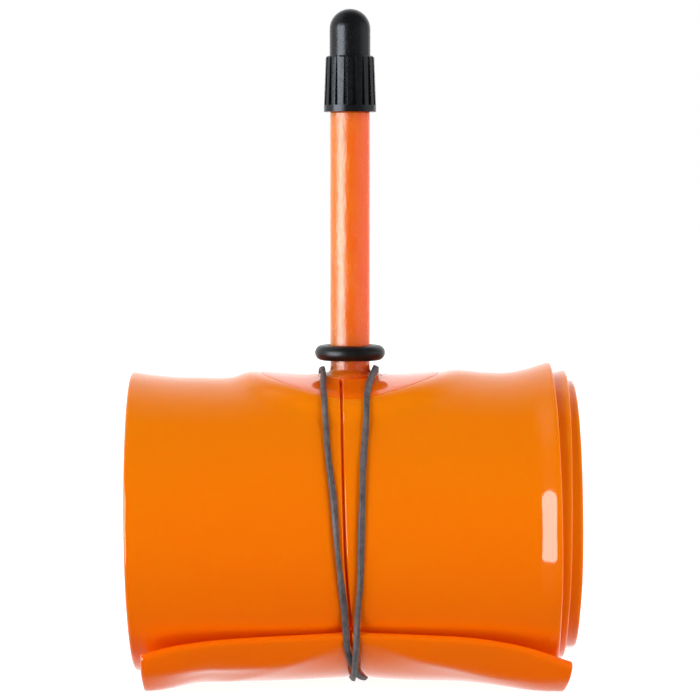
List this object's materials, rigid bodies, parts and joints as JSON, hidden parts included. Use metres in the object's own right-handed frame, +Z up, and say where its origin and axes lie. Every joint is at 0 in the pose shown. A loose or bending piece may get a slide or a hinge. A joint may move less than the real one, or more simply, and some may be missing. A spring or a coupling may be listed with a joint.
{
  "type": "rolled bicycle inner tube",
  "caption": "Thin-film bicycle inner tube, emptied and rolled up flat, with its slim valve, dust cap and bedding ring standing on the roll, held shut by a doubled rubber band.",
  "frame": {"origin": "on the plane the roll rests on, straight under the valve's axis, at the middle of the bounding box", "axes": "+Z up the valve, +X along the roll's axis to the side its inner turns stand out on, +Y from the front, where the strip's end is, to the back"},
  "size_m": [0.0666, 0.0458, 0.1017],
  "materials": {
    "tube_film": "glossy, slightly see-through orange film",
    "patch_film": "glossy orange, welded on",
    "stem_plastic": "satin moulded orange plastic with faint streaks",
    "ring_rubber": "smooth black",
    "core_brass": "turned, lightly nickelled",
    "seal_rubber": "matt black",
    "cap_plastic": "satin black moulding",
    "band_rubber": "matt dark grey"
  },
  "bodies": {
    "root": {"tube_roll": "tube_film", "valve_base_patch": "patch_film", "valve_stem": "stem_plastic", "rubber_band": "band_rubber"},
    "core": {"core_body": "core_brass", "core_gasket": "seal_rubber"},
    "plunger": {"plunger_rod": "core_brass", "plunger_seal": "seal_rubber"},
    "nut": {"lock_nut": "core_brass"},
    "cap": {"dust_cap": "cap_plastic"},
    "o_ring": {"stem_o_ring": "ring_rubber"}
  },
  "joints": [
    {"name": "core_unscrew", "type": "slide", "parent": "root", "child": "core", "axis": [0, 0, 1], "range_m": [0, 0.017]},
    {"name": "cap_lift", "type": "slide", "parent": "core", "child": "cap", "axis": [0, 0, 1], "range_m": [0, 0.016]},
    {"name": "nut_turn", "type": "hinge", "parent": "core", "child": "nut", "pos_m": [0, 0, 0.0955], "axis": [0, 0, 1], "range_deg": [0, 1440]},
    {"name": "plunger_drop", "type": "slide", "parent": "core", "child": "plunger", "axis": [0, 0, 1], "range_m": [-0.0018, 0]},
    {"name": "ring_slide", "type": "slide", "parent": "root", "child": "o_ring", "axis": [0, 0, 1], "range_m": [0, 0.0345]}
  ],
  "couplings": [
    {"joint": "nut_turn", "follows": "plunger_drop", "rad_per_m": -13962}
  ]
}
